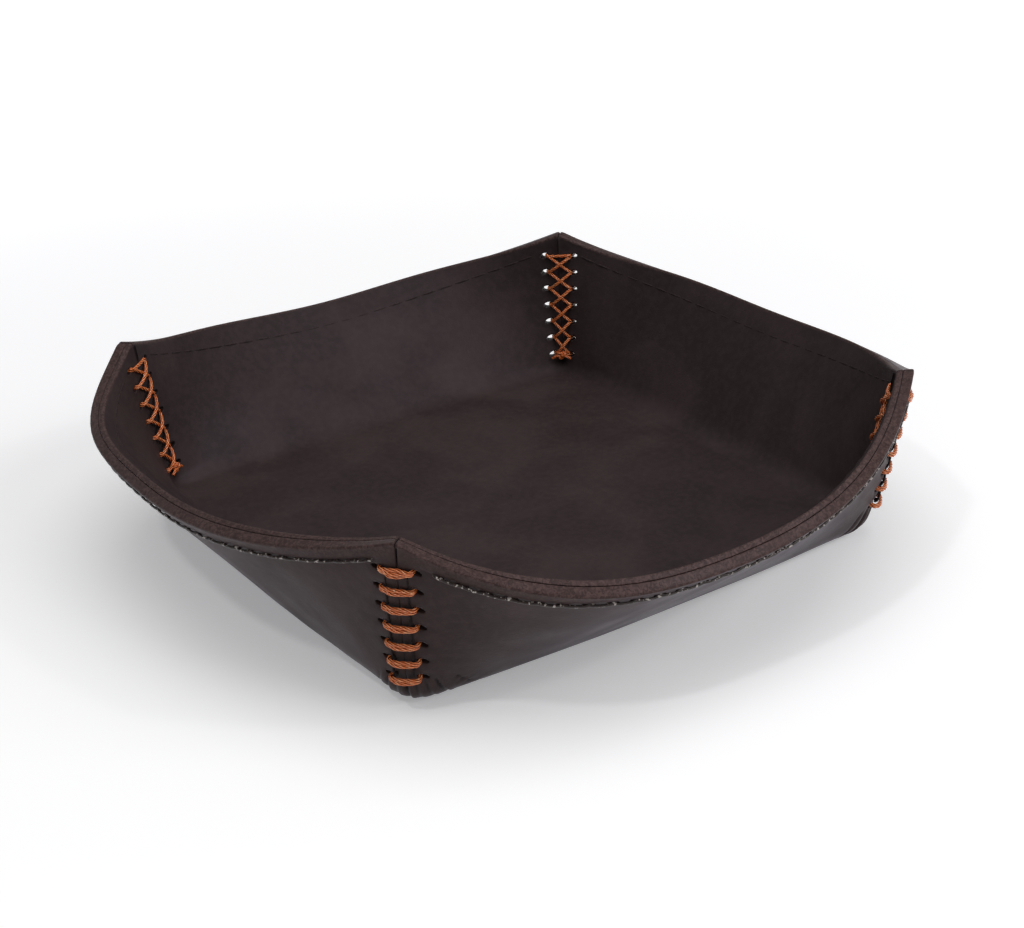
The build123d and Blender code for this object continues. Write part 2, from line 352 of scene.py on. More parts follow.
def mouth(wall, end, z, distance=lace_inset):
    """A place on the outer face, the directions out of it and along it, and the way of a hole from there."""
    t = place_from_seam(wall, end, z, distance)
    place = face_point(wall, np.array([t]), np.array([z]), 0.0)[0]
    out = square_out(wall, t, z)
    along = directions(wall, np.array([t]), np.array([z]))[0][0]
    way = out - along * hole_lean * seam_lead(wall, np.array([end]), np.array([z]))[0]
    return place, out, along, way


holes = []
for wall in walls:
    for end in (-1.0, 1.0):
        for z in lace_rows:
            place, out, along, way = mouth(wall, end, z)
            up = np.cross(out, along)
            holes.append(dict(place=place, out=out, along=along, up=up, away=-end * along, way=way))
print("lace holes:", len(holes))

# %% [markdown]
# ## Sculpting the leather
# The thread pulls the leather in: a dimple round each slit, a dent under each bar, a groove where the two walls
# meet, and creases that run down from the last bar to the floor. A sculpting brush would do it by hand. Here
# each is a bell-shaped push along the surface's own normal, so that every corner gets the same marks at its own
# slits, and so that the same numbers can also paint shade into the leather's colour there.

# %% Sizes of the pushes
far_off = 99.0
side_of_joint = np.concatenate([np.ones(len(near)), np.zeros(len(middle_columns)), -np.ones(len(near) - 1)])
joint_side = np.tile(side_of_joint, 4)
joint_distance = np.tile(np.concatenate([near, np.full(len(middle_columns), far_off), near[:0:-1]]), 4)
outer_dimple, inner_dimple = 0.26, 0.16
outer_groove_start, inner_groove_start = 4.4, 7.4
lowest_lace, highest_lace = 6.6, 33.4
bar_dent, bar_reach = 0.10, 3.9
seam_drop, seam_dent, seam_end = 3.0, 0.10, 4.2
pit_depth, pit_height = 0.9, 6.3
crease_reach = 14
# Each crease has a place beside the joint where it starts, a lean and a depth.
crease_lines = [
    (-6.4, -0.34, 0.20),
    (-4.2, -0.20, 0.42),
    (-2.2, -0.08, 0.24),
    (-0.2, 0.02, 0.62),
    (1.7, 0.05, 0.26),
    (3.4, 0.16, 0.30),
    (5.2, 0.34, 0.46),
    (8.8, 0.70, 0.40),
]
print("crease lines at each corner:", len(crease_lines))


# %% Pushes of the thread
def bell(value, width):
    return np.exp(-((value / width) ** 2))


def past(value, start, steepness):
    """Goes smoothly from 0 to 1 where the value passes the start."""
    return 1 / (1 + np.exp(-(value - start) * steepness))


def on_wall(z):
    return past(z, 2.2, 2.5)


def press_slits(grid, inner):
    """A dimple round each slit, with the leather raised a little about it, and painted shade in the dimple."""
    push, dark = np.zeros(grid.shape[:2]), np.zeros(grid.shape[:2])
    for hole in holes:
        gap = grid - (hole["place"] - hole["way"] * whole_wall * inner)
        close = np.linalg.norm(gap, axis=-1) < 7
        along, up, out = (dot(gap[close], hole[axis]) for axis in ("along", "up", "out"))
        same_face = np.abs(out) < 1.6
        dimple = bell(along, 1.8) * bell(up, 1.0) * same_face
        push[close] += dimple * (inner_dimple if inner else outer_dimple)
        push[close] -= bell(along, 2.6) * bell(up, 2.2) * same_face * 0.05
        # Painted shade: the colour is darkened in the dimple round the slit.
        dark[close] = np.maximum(dark[close], dimple * 0.55)
    return push, dark


def press_threads(beside, z, drops):
    """Dents under the bars of the lace and under the rim's seam."""
    push = seam_dent * bell(drops[:, None] - seam_drop, 0.40) * (beside > seam_end)
    for row in lace_rows:
        push = push + bar_dent * bell(z - row, 0.65) * (beside < bar_reach) * on_wall(z)
    return push, 0 * z


print("a bell at its width:", bell(1.0, 1.0).round(2), "and a step at its start:", past(0.0, 0.0, 1.0))


# %% Pushes at the joints
def press_joint(beside, z, inner):
    """A groove where the walls meet, shallow where the lace covers it, with painted shade along it."""
    deep = past(z, inner_groove_start if inner else outer_groove_start, 2.2)
    deep *= 1 - 0.7 * past(z, lowest_lace, 3) * past(-z, -highest_lace, 3)
    groove = 0.50 * bell(beside, 0.15) + 0.16 * bell(beside, 0.7)
    # The second value is painted shade along the groove.
    return groove * deep, bell(beside, 0.22) * deep * 0.95


def press_creases(beside, z):
    """Creases from the last bar down to the floor, each with a low ridge beside it and painted shade along it.
    """
    push, dark = 0 * z, 0 * z
    window = bell(np.maximum(0, z - 5.4), 1.5) * bell(np.minimum(0, z - 2.2), 1.3) * (beside < crease_reach)
    for start, lean, deep in crease_lines:
        line = beside * joint_side - start - lean * (6.5 - z)
        push += deep * (bell(line, 0.42) - 0.35 * bell(line - 0.85, 0.5)) * window
        # Painted shade along each crease.
        dark = np.maximum(dark, bell(line, 0.34) * window * min(1, deep * 2.2))
    return push, dark


def press_inner_corner(beside, z):
    """A pit at the foot of each inner corner, with painted shade in it."""
    pit = bell(beside, 1.5) * bell(z - pit_height, 2.3) * on_wall(z - whole_wall)
    # The second value is painted shade in the pit.
    return pit_depth * pit, pit


print("groove in the open joint:", press_joint(0.0, 36.0, inner=False)[0].round(2), "mm deep")


# %% All the pushes on one face
hide_unevenness = 0.06


def unevenness(grid):
    x, y, z = grid[..., 0], grid[..., 1], grid[..., 2]
    broad = np.sin(x * 0.21 + 1.3) * np.sin(y * 0.17 + 0.4)
    return hide_unevenness * (broad + 0.5 * np.sin(x * 0.43 + z * 0.3))


def normals_of(grid):
    across = np.roll(grid, -1, axis=1) - np.roll(grid, 1, axis=1)
    normal = np.cross(across, np.gradient(grid, axis=0))
    size = np.linalg.norm(normal, axis=-1, keepdims=True)
    return normal / np.maximum(size, 1e-9)


def sculpt(grid, drops, inner):
    """Pushes the seen face of a ply, and returns the painted shade of the pushed places."""
    z = grid[..., 2]
    beside = joint_distance[None, :] + 0 * z
    presses = [press_slits(grid, inner), press_joint(beside, z, inner)]
    if inner:
        presses.append(press_inner_corner(beside, z))
    else:
        presses += [press_threads(beside, z, drops), press_creases(beside, z)]
    push = unevenness(grid) + sum(press[0] for press in presses)
    dark = np.maximum.reduce([press[1] for press in presses])
    return grid - normals_of(grid) * push[..., None], dark


print("the hide's unevenness at the fold:", np.ptp(unevenness(outer_up[0])).round(3), "mm")

# %% [markdown]
# ## The two plies
# Two sheets are glued back to back: a thick hide outside and a thin one as lining. A solidify modifier would
# give both faces the same marks, so each ply is a closed skin of its own. A grid primitive has the right number
# of rows and columns: its points are moved to the rings, its two ends are merged, and its poles close over the
# middle of the floor. Two attributes are kept for the finish: "edge" marks the cut edge and a lighter band
# along the outer arris, which is partly wear and partly a painted highlight, and "dark" holds painted shade in
# the pushed places and on the cut edge at the joints.

# %% Make a ply
MM = 0.001


def deselect():
    bpy.ops.object.select_all(action="DESELECT")


def select_only(pieces):
    deselect()
    for piece in pieces:
        piece.select_set(True)
    bpy.context.view_layer.objects.active = pieces[0]


def join(pieces):
    select_only(pieces)
    bpy.ops.object.join()
    return bpy.context.object


def matrix_of(x_axis, y_axis, z_axis, place):
    rows = np.stack([x_axis, y_axis, z_axis, place], axis=1)
    return Matrix([list(row) for row in rows] + [[0, 0, 0, 1]])


def set_attribute(mesh, name, values):
    attribute = mesh.attributes.new(name, "FLOAT", "POINT")
    attribute.data.foreach_set("value", np.ascontiguousarray(values, dtype=np.float32).ravel())


def make_ply(name, rows, seen, over_edge, inner):
    """One ply. Seen and over_edge are slices of its rows, and the rows of an inner face run downwards."""
    grid = np.stack(rows)
    edge, dark = np.zeros(grid.shape[:2]), np.zeros(grid.shape[:2])
    upwards = slice(None, None, -1 if inner else 1)
    drops = np.full(len(rows[seen]), far_off)
    drops[-len(seam_drops) :] = seam_drops
    patch, patch_dark = sculpt(grid[seen][upwards], drops, inner)
    grid[seen], dark[seen] = patch[upwards], patch_dark[upwards]
    edge[over_edge] = 1
    # A lighter band of edge colour along the outer arris: partly wear, partly a painted highlight.
    if not inner:
        edge[seen] = 0.55 * past(-drops[:, None], -2.3, 3)
    grid[over_edge, :, 2] -= 0.35 * bell(joint_distance, 0.16) + 0.12 * bell(joint_distance, 0.7)
    # Painted shade on the cut edge where the two walls meet.
    dark[over_edge] = bell(joint_distance, 0.2) * 0.9
    deselect()
    bpy.ops.mesh.primitive_grid_add(x_subdivisions=columns, y_subdivisions=len(rows) - 1, size=0.2)
    ply = bpy.context.object
    ply.name = ply.data.name = name
    closed = np.concatenate([grid, grid[:, :1]], axis=1) * MM
    ply.data.vertices.foreach_set("co", closed.ravel())
    for label, values in (("edge", edge), ("dark", dark)):
        set_attribute(ply.data, label, np.concatenate([values, values[:, :1]], axis=1))
    bpy.ops.object.mode_set(mode="EDIT")
    bpy.ops.mesh.select_all(action="SELECT")
    bpy.ops.mesh.remove_doubles(threshold=1e-6)
    bpy.ops.mesh.normals_make_consistent(inside=False)
    bpy.ops.object.mode_set(mode="OBJECT")
    bpy.ops.object.shade_smooth()
    print(name, "faces:", len(ply.data.polygons))
    return ply


outer_seen = len(fine_floor) + len(outer_up)
outer_edge_end = outer_seen + len(outer_edge)
outer_leather = make_ply(
    "leather_outer", outer_rows, slice(0, outer_seen), slice(outer_seen, outer_edge_end), inner=False
)
lining_edge_start = len(coarse_floor) + len(lining_down)
lining_seen = lining_edge_start + len(lining_edge)
lining_leather = make_ply(
    "leather_lining", lining_rows, slice(lining_seen, None), slice(lining_edge_start, lining_seen), inner=True
)

# %% [markdown]
# ## Awl slits
# An awl leaves a short slanted slit with rounded ends. Painted holes would let no light through, so they are
# really cut: a cylinder is stretched to the slit's shape at each hole, the cylinders are joined, and one
# Boolean modifier a ply takes them all out at once.

# %% Cut the slits
slit_tilt = math.radians(-17)
slit_half_length = 1.20
slit_half_width = 0.60
slit_half_depth = 3.4
slit_shift = 0.25


def slit_matrix(hole):
    """Stretches a cutter to a slit, lays it along its hole's way and moves it a little away from the joint."""
    long_axis = hole["along"] * math.cos(slit_tilt) + hole["up"] * math.sin(slit_tilt)
    short_axis = np.cross(hole["out"], long_axis)
    centre = hole["place"] + hole["away"] * slit_shift - hole["way"] * whole_wall / 2
    return matrix_of(
        long_axis * slit_half_length * MM,
        short_axis * slit_half_width * MM,
        hole["way"] * slit_half_depth * MM,
        centre * MM,
    )


cutters = []
for hole in holes:
    bpy.ops.mesh.primitive_cylinder_add(vertices=20, radius=1.0, depth=2.0)
    cutters.append(bpy.context.object)
    cutters[-1].data.transform(slit_matrix(hole))
slits = join(cutters)
for ply in (outer_leather, lining_leather):
    cut = ply.modifiers.new("slits", "BOOLEAN")
    cut.operation = "DIFFERENCE"
    cut.solver = "EXACT"
    cut.object = slits
    select_only([ply])
    bpy.ops.object.modifier_apply(modifier=cut.name)
    print(ply.name, "faces after the slits:", len(ply.data.polygons))
bpy.data.objects.remove(slits)

# %% [markdown]
# ## Threads
# A thread follows a smooth NURBS line drawn by a few points. The waxed lace is laid from four fine plies that
# turn round each other. A bump could only suggest them, but the photograph shows their grooves on the outline
# too. So each ply is a helix round the line with a round bevel. The line is read back from the curve as a chain
# of points, which gives the helix its place and direction.

# %% A smooth line through control points
def smooth_line(points, spacing):
    curve = bpy.data.curves.new("line", "CURVE")
    curve.dimensions = "3D"
    spline = curve.splines.new("NURBS")
    spline.points.add(len(points) - 1)
    for target, place in zip(spline.points, points):
        target.co = (*place, 1.0)
    spline.order_u = 3
    spline.use_endpoint_u = True
    spline.resolution_u = 8
    holder = bpy.data.objects.new("line", curve)
    mesh = bpy.data.meshes.new_from_object(holder)
    line = np.array([v.co[:] for v in mesh.vertices])
    bpy.data.objects.remove(holder)
    bpy.data.meshes.remove(mesh)
    full = travelled(line)[-1]
    return read_at(line, np.linspace(0, full, max(8, int(full / spacing))))


def plies_round(line, radius, pitch, count):
    """Helices round a line, one for each ply, with a frame that never twists by itself."""
    forward = unit(np.gradient(line, axis=0))
    side = np.zeros_like(line)
    side[0] = unit(np.cross(forward[0], [0.3, 0.5, 0.81]))
    for n in range(1, len(line)):
        side[n] = unit(side[n - 1] - forward[n] * dot(side[n - 1], forward[n]))
    other = np.cross(forward, side)
    turns = []
    for n in range(count):
        angle = (2 * math.pi * (travelled(line) / pitch + n / count))[:, None]
        turns.append(line + radius * (side * np.cos(angle) + other * np.sin(angle)))
    return turns


straight = np.linspace([0, 0, 0], [10.0, 0, 0], 60)
first_ply = plies_round(straight, 0.225, 5.5, 4)[0]
print("a ply round 10 mm of line is", travelled(first_ply)[-1].round(2), "mm long")


# %% Round tubes
def tubes(name, lines, radius):
    """One mesh of round tubes along several lines."""
    curve = bpy.data.curves.new(name, "CURVE")
    curve.dimensions = "3D"
    curve.bevel_depth = radius * MM
    curve.bevel_resolution = 1
    curve.use_fill_caps = True
    for line in lines:
        spline = curve.splines.new("POLY")
        spline.points.add(len(line) - 1)
        spline.points.foreach_set("co", np.hstack([line * MM, np.ones((len(line), 1))]).ravel())
    holder = bpy.data.objects.new(name, curve)
    bpy.context.scene.collection.objects.link(holder)
    select_only([holder])
    bpy.ops.object.convert(target="MESH")
    tube = bpy.context.object
    bpy.ops.object.shade_smooth()
    print(name, "faces:", len(tube.data.polygons))
    return tube


# %% [markdown]
# ## The corner laces
# One waxed thread laces each corner. From its middle, at the top inside, both ends go down row by row: outside
# they lie side by side over the butt joint, inside they cross. A third, short strand makes the first bar
# thicker. At the bottom the ends are tied in a small knot. A simulation could pull the thread tight, but its
# result would be hard to steer. The route is written down instead, as the few places that a needle passes: over
# the leather, round the lip of a slit, through it and on to the next.

# %% The lace's route
lace_radius = 0.36
float_height = lace_radius + 0.12
lace_entry = 3.3
lip = 0.45
bar_lane, first_bar_lane = 0.36, 0.62
bar_drop = 0.25
bar_lift, third_strand_lift = 0.04, 0.30
bar_flat = 0.9
cross_depth = 1.1
tail_share, tail_depth = 0.92, 0.25


def ridge(wall, z):
    """Where a bar passes the butt joint, just outside the rounded corner, and the direction out of it."""
    after = wall["after"]
    seam = unit(wall["out"] + after["out"])
    corner = (flat_point(wall, 1.0, z) + flat_point(after, -1.0, z)) / 2
    square = min(dot(seam, square_out(wall, 1.0, z)), dot(seam, square_out(after, -1.0, z)))
    rounding = corner_round(z, 0) * math.sqrt(1 - square**2) / 2
    lift = (lace_radius + 0.20) / square + 2.5 * (1 / square - 1)
    return corner + seam * (lift - rounding), seam


def transit(wall, end, z, side):
    """From above the leather, round the lip of a slit and through it to the inside, in the lane of one side."""
    place, out, along, way = mouth(wall, end, z, lace_entry)
    toward = along * end
    lane = np.array([0, 0, side])
    return [
        place + out * float_height + toward * 1.4 + lane * 0.26,
        place + out * float_height + toward * 0.2 + lane * 0.15,
        place - way * lip + lane * 0.15,
        place - way * (whole_wall - lip) + lane * 0.15,
        place - way * (whole_wall + float_height) + toward * 0.2 + lane * 0.22,
    ]


def bar(first, first_end, second, second_end, z, side, left_wall):
    """One strand's trip over the joint, from inside to inside. The first row is laced wider than the others."""
    lane = first_bar_lane if z == lace_rows[0] else bar_lane
    top, seam = ridge(left_wall, z)
    across = np.cross(UP, seam) * (1 if first is left_wall else -1)
    top = top + UP * (side * lane - bar_drop) + seam * (third_strand_lift if side == 0 else bar_lift)
    leave = transit(first, first_end, z, side)[::-1]
    enter = transit(second, second_end, z, side)
    return leave + [top - across * bar_flat, top + across * bar_flat] + enter


def lace_route(wall):
    after = wall["after"]
    seam = unit(wall["out"] + after["out"])
    over = [bar(wall, 1.0, after, -1.0, z, 1, wall) for z in lace_rows]
    under = [bar(after, -1.0, wall, 1.0, z, -1, wall) for z in lace_rows]
    first_half = sum(over, [])[::-1]
    second_half = list(under[0])
    for upper, lower in zip(under, under[1:]):
        second_half.append((upper[-1] + lower[0]) / 2 - seam * cross_depth)
        second_half += lower
    middle = (over[-1][-1] + under[-1][-1]) / 2
    tails = [end + (middle - end) * tail_share - seam * tail_depth for end in (over[-1][-1], under[-1][-1])]
    extra = bar(wall, 1.0, after, -1.0, lace_rows[0], 0, wall)
    return [tails[0]] + first_half + second_half + [tails[1]], extra, middle, seam


print("places on the first lace:", len(lace_route(walls[0])[0]))


# %% Grooves between the plies
groove_depth = 0.20
crown_height = 0.165


def mark_crowns(lace, centres):
    """Keeps how far a point lies from the thread's middle: 0 in a groove, 1 on a ply's back."""
    middles = np.concatenate(centres) * MM
    tree = kdtree.KDTree(len(middles))
    for n, place in enumerate(middles):
        tree.insert(place, n)
    tree.balance()
    away = np.array([tree.find(v.co)[2] for v in lace.data.vertices]) / MM
    crown = np.clip((away - groove_depth) / crown_height, 0, 1)
    # The lace's finish paints shade in the grooves and a highlight on the backs from this value.
    set_attribute(lace.data, "crown", crown)
    print(lace.name, "share of its points on a ply's back:", np.mean(crown > 0.6).round(2))


# %% Lay the four laces and tie their knots
lace_ply_radius = 0.140
lace_twist = dict(radius=0.225, pitch=5.5, count=4)
knot_twist = dict(radius=0.19, pitch=5.0, count=4)
lace_spacing, cut_end_spacing, centre_spacing = 0.32, 0.3, 0.05
knot_depth = 0.75
knot_size = dict(across=0.36, up=0.30, out=0.42)
knot_turn = np.linspace(0, 2 * math.pi, 60)
trefoil_across = np.sin(knot_turn) + 2 * np.sin(2 * knot_turn)
trefoil_up = np.cos(knot_turn) - 2 * np.cos(2 * knot_turn)
trefoil_out = -np.sin(3 * knot_turn)
trefoil = np.stack([trefoil_across, trefoil_up, trefoil_out], axis=1)


def knot_line(middle, seam):
    axes = [np.cross(UP, seam) * knot_size["across"], UP * knot_size["up"], -seam * knot_size["out"]]
    return middle - seam * knot_depth + trefoil @ np.stack(axes)


def cut_ends(middle, seam):
    """The two short ends that stick out of the knot."""
    across = np.cross(UP, seam)
    return [
        [
            middle - seam * 0.9,
            middle - seam * 1.3 + across * end * 1.2,
            middle - seam * 1.0 + across * end * 2.4 - UP * 0.9,
        ]
        for end in (-1, 1)
    ]


laces = []
for wall in walls:
    corner = wall["name"] + "_" + wall["after"]["name"]
    points, extra, middle, seam = lace_route(wall)
    lines, centres = [], []
    for strand in (points, extra):
        lines += plies_round(smooth_line(strand, lace_spacing), **lace_twist)
        centres.append(smooth_line(strand, centre_spacing))
    centres.append(knot_line(middle, seam))
    for cut_end in cut_ends(middle, seam):
        lines += plies_round(smooth_line(cut_end, cut_end_spacing), **knot_twist)
        centres.append(smooth_line(cut_end, centre_spacing))
    lines += plies_round(knot_line(middle, seam), **knot_twist)
    lace = tubes("lace_twisted_" + corner, lines, lace_ply_radius)
    mark_crowns(lace, centres)
    laces.append(lace)
    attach(lace, "root")
    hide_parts("lace_" + corner)

# %% [markdown]
# ## Machine seams
# A machine seam is a row of equal stitches. An array modifier on a curve would bend them with the rim. So one
# stitch is modelled as a bowed thread whose two ends go down into the leather. It is copied to every place of a
# seam, turned to the seam's direction, and the copies are joined into one piece a seam.

# %% One stitch, and seams made of it
stitch_share = np.array([-0.5, -0.47, -0.38, -0.2, 0, 0.2, 0.38, 0.47, 0.5])
stitch_bow = np.array([-0.75, -0.38, -0.10, -0.02, 0, -0.02, -0.10, -0.38, -0.75])
stitch_pitch = 4.4
joint_clear = 4.5
seam_places = 401
edge_seam_inset = 2.2
edge_stitch_length = 3.0


def lay_stitches(name, places, radius, proud, node):
    """Places hold each stitch's middle, direction, outward and length. Proud is its height over the face."""
    line = np.stack([stitch_share, np.zeros(len(stitch_share)), proud + stitch_bow], axis=1)
    model = tubes(name, [line], radius)
    copies = []
    for middle, direction, outward, length in places:
        copy = bpy.data.objects.new(name, model.data.copy())
        bpy.context.scene.collection.objects.link(copy)
        forward = unit(direction - outward * dot(direction, outward))
        side = np.cross(outward, forward)
        copy.data.transform(matrix_of(forward * length, side, outward, middle * MM))
        copies.append(copy)
    bpy.data.objects.remove(model)
    seam = join(copies)
    seam.name = seam.data.name = name
    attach(seam, "root")
    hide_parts(node)
    print(name, "stitches:", len(copies), "faces:", len(seam.data.polygons))
    return seam


def rim_stitches(wall, depth, side):
    """Stitches along a rim, on the face that lies depth inside. Side is 1 outside the tray and -1 inside it."""
    t = np.linspace(-1, 1, seam_places) * (1 - joint_clear / half_length(wall, tray_height))
    top = rim(wall, t)[1]
    climb = directions(wall, t, top)[2]
    z = top - seam_drop / np.sqrt(1 + climb**2)
    line = face_point(wall, t, z, depth)
    out = square_out(wall, t, z) * side
    length = travelled(line)
    count = round(length[-1] / stitch_pitch)
    chosen = [int(np.argmin(np.abs(length - length[-1] * n / count))) for n in range(count + 1)]
    places = []
    for a, b in zip(chosen, chosen[1:]):
        outward = unit(out[a] + out[b])
        middle = (line[a] + line[b]) / 2
        bulge = max(0.0, float(np.max(dot(line[a:b] - middle, outward))))
        span = line[b] - line[a]
        places.append((middle + outward * bulge * 0.8, span, outward, np.linalg.norm(span) * 0.97))
    return places


def edge_stitches(wall, end):
    """Stitches beside a corner's joint, one between each two rows of the lace."""
    places = []
    for upper, lower in zip(lace_rows, lace_rows[1:]):
        first, last = (mouth(wall, end, z, edge_seam_inset)[0] for z in (upper, lower))
        place, out, *_ = mouth(wall, end, (upper + lower) / 2, edge_seam_inset)
        places.append((place, last - first, out, edge_stitch_length))
    return places


# Each kind of thread has a radius and a height over the face.
thread_sizes = {"needle": (0.26, 0.34), "bobbin": (0.22, -0.12), "edge": (0.22, 0.02)}
seams = []
for wall in walls:
    first, second = wall["name"], wall["after"]["name"]
    rows = [
        ("needle", first, rim_stitches(wall, 0.0, 1)),
        ("bobbin", first, rim_stitches(wall, whole_wall, -1)),
        ("edge", first + "_to_" + second, edge_stitches(wall, 1.0)),
        ("edge", second + "_to_" + first, edge_stitches(wall["after"], -1.0)),
    ]
    for kind, place, stitches in rows:
        seam = lay_stitches(f"thread_{kind}_{place}", stitches, *thread_sizes[kind], f"{kind}_seam_{place}")
        seams.append((seam, kind))

# %% [markdown]
# ## Finishes
# The leather is a dark, oiled, smooth hide: a soft mottle of two browns, fine pores and a dull sheen. Its cut
# edge is a lighter, fibrous brown, and painted shade darkens the leather in its slits, grooves, creases and
# pits.
# The waxed lace has painted shade in the grooves between its plies, where it is nearly black, its own orange on
# their sides and a painted highlight on their backs. The needle thread is dark with small bright dots, which
# are painted glints. The thread beside the corners is dull, and drawn darker than the needle thread as painted
# shade where it lies sunk. The lining's thread has nearly the lining's own colour. All of it comes from noise
# in the object's own space, which needs no unwrapping, and from the attributes kept above.

# %% Helpers for node materials
def start_material(name):
    material = bpy.data.materials.new(name)
    material.use_nodes = True
    tree = material.node_tree
    for item in list(tree.nodes):
        tree.nodes.remove(item)
    output = tree.nodes.new("ShaderNodeOutputMaterial")
    shader = tree.nodes.new("ShaderNodeBsdfPrincipled")
    tree.links.new(shader.outputs["BSDF"], output.inputs["Surface"])
    place = tree.nodes.new("ShaderNodeTexCoord")
    return material, tree, shader, place.outputs["Object"]


def noise(tree, place, scale, detail=3.0, distortion=0.0):
    item = tree.nodes.new("ShaderNodeTexNoise")
    item.inputs["Scale"].default_value = scale
    item.inputs["Detail"].default_value = detail
    item.inputs["Distortion"].default_value = distortion
    tree.links.new(place, item.inputs["Vector"])
    return item.outputs["Fac"]


def levels(tree, value, low, high, out_low=0.0, out_high=1.0):
    item = tree.nodes.new("ShaderNodeMapRange")
    item.interpolation_type = "SMOOTHSTEP"
    for name, number in (("From Min", low), ("From Max", high), ("To Min", out_low), ("To Max", out_high)):
        item.inputs[name].default_value = number
    tree.links.new(value, item.inputs["Value"])
    return item.outputs["Result"]


def mix(tree, share, first, second):
    """Mixes two colours; each is a colour or the output of another node."""
    item = tree.nodes.new("ShaderNodeMix")
    item.data_type = "RGBA"
    for socket, value in ((item.inputs[0], share), (item.inputs[6], first), (item.inputs[7], second)):
        if isinstance(value, (tuple, float, int)):
            socket.default_value = (*value, 1.0) if isinstance(value, tuple) else value
        else:
            tree.links.new(value, socket)
    return item.outputs[2]


def bump(tree, shader, heights):
    """Heights hold a value, a strength and a distance in metres, from the coarsest to the finest."""
    last = None
    for value, strength, distance in heights:
        item = tree.nodes.new("ShaderNodeBump")
        item.inputs["Strength"].default_value = strength
        item.inputs["Distance"].default_value = distance
        tree.links.new(value, item.inputs["Height"])
        if last is not None:
            tree.links.new(last, item.inputs["Normal"])
        last = item.outputs["Normal"]
    tree.links.new(last, shader.inputs["Normal"])


def attribute(tree, name):
    item = tree.nodes.new("ShaderNodeAttribute")
    item.attribute_name = name
    return item.outputs["Fac"]


# %% Leather
painted_shade_tone = (0.004, 0.003, 0.003)


def leather(name, body_tones, edge_tones, roughness, specular, sheen):
    """Dark hide. The first tone of each pair is the deep one."""
    material, tree, shader, place = start_material(name)
    mottle = levels(tree, noise(tree, place, 48.0, 4.0, 0.6), 0.34, 0.68)
    fine = levels(tree, noise(tree, place, 620.0, 3.0), 0.3, 0.75)
    body = mix(tree, mottle, *body_tones)
    body = mix(tree, levels(tree, fine, 0.0, 1.0, 0.0, 0.22), body, tuple(c * 1.5 for c in body_tones[1]))
    fibre = levels(tree, noise(tree, place, 1500.0, 2.0, 1.2), 0.35, 0.7)
    # The 'edge' attribute gives the cut edge its own colour, and the band along the outer arris a lighter
    # colour that is partly wear and partly a painted highlight.
    colour = mix(tree, attribute(tree, "edge"), body, mix(tree, fibre, *edge_tones))
    # Painted shade: the 'dark' attribute darkens the colour in slits, grooves, creases, pits and joints.
    colour = mix(tree, levels(tree, attribute(tree, "dark"), 0.0, 1.0, 0.0, 0.92), colour, painted_shade_tone)
    tree.links.new(colour, shader.inputs["Base Color"])
    gloss = levels(tree, noise(tree, place, 85.0, 3.0), 0.3, 0.7, roughness - 0.06, roughness + 0.08)
    tree.links.new(gloss, shader.inputs["Roughness"])
    shader.inputs["Specular IOR Level"].default_value = specular
    shader.inputs["Specular Tint"].default_value = (0.90, 0.86, 1.0, 1.0)
    shader.inputs["Sheen Weight"].default_value = sheen
    shader.inputs["Sheen Roughness"].default_value = 0.30
    shader.inputs["Sheen Tint"].default_value = (0.82, 0.78, 1.0, 1.0)
    pores = tree.nodes.new("ShaderNodeTexVoronoi")
    pores.inputs["Scale"].default_value = 1500.0
    tree.links.new(place, pores.inputs["Vector"])
    grain = (noise(tree, place, 210.0, 3.0), 0.25, 0.00012)
    pits = (levels(tree, pores.outputs["Distance"], 0.0, 0.5), 0.30, 0.00003)
    bump(tree, shader, [grain, pits, (fibre, 0.18, 0.00004)])
    print(name, "nodes:", len(tree.nodes))
    return material


outer_finish = leather(
    "oiled hide, outside",
    body_tones=((0.038, 0.0250, 0.0235), (0.054, 0.0355, 0.0335)),
    edge_tones=((0.044, 0.027, 0.025), (0.090, 0.056, 0.051)),
    roughness=0.40,
    specular=0.08,
    sheen=0.15,
)
lining_finish = leather(
    "oiled hide, lining",
    body_tones=((0.029, 0.0195, 0.0195), (0.043, 0.0290, 0.0290)),
    edge_tones=((0.044, 0.027, 0.025), (0.096, 0.060, 0.055)),
    roughness=0.55,
    specular=0.14,
    sheen=0.0,
)


# %% Threads
thread_grain = 1500.0
painted_glint_tone = (0.55, 0.50, 0.47)
# Painted shade for the lace's grooves, its own orange, and a painted highlight for its plies' backs.
painted_groove_shade = (0.060, 0.012, 0.004)
side_tone = (0.680, 0.150, 0.032)
painted_highlight_tone = (0.970, 0.460, 0.210)


def thread(name, tones, roughness, strength, specular, painted_glints):
    """Streaked machine thread. The last argument sets how strongly small bright dots, which are painted glints,
    show on it.
    """
    material, tree, shader, place = start_material(name)
    streak = levels(tree, noise(tree, place, thread_grain, 3.0, 0.5), 0.3, 0.7)
    # Painted glints: small bright dots mixed into the thread's colour.
    painted_glint_share = levels(tree, noise(tree, place, thread_grain, 1.0), 0.58, 0.66, 0.0, painted_glints)
    tree.links.new(mix(tree, painted_glint_share, mix(tree, streak, *tones), painted_glint_tone), shader.inputs["Base Color"])
    gloss = levels(tree, streak, 0.0, 1.0, roughness + 0.1, roughness - 0.05)
    tree.links.new(gloss, shader.inputs["Roughness"])
    shader.inputs["Specular IOR Level"].default_value = specular
    bump(tree, shader, [(noise(tree, place, thread_grain * 2.5, 2.0), strength, 0.00006)])
    print(name, "nodes:", len(tree.nodes))
    return material


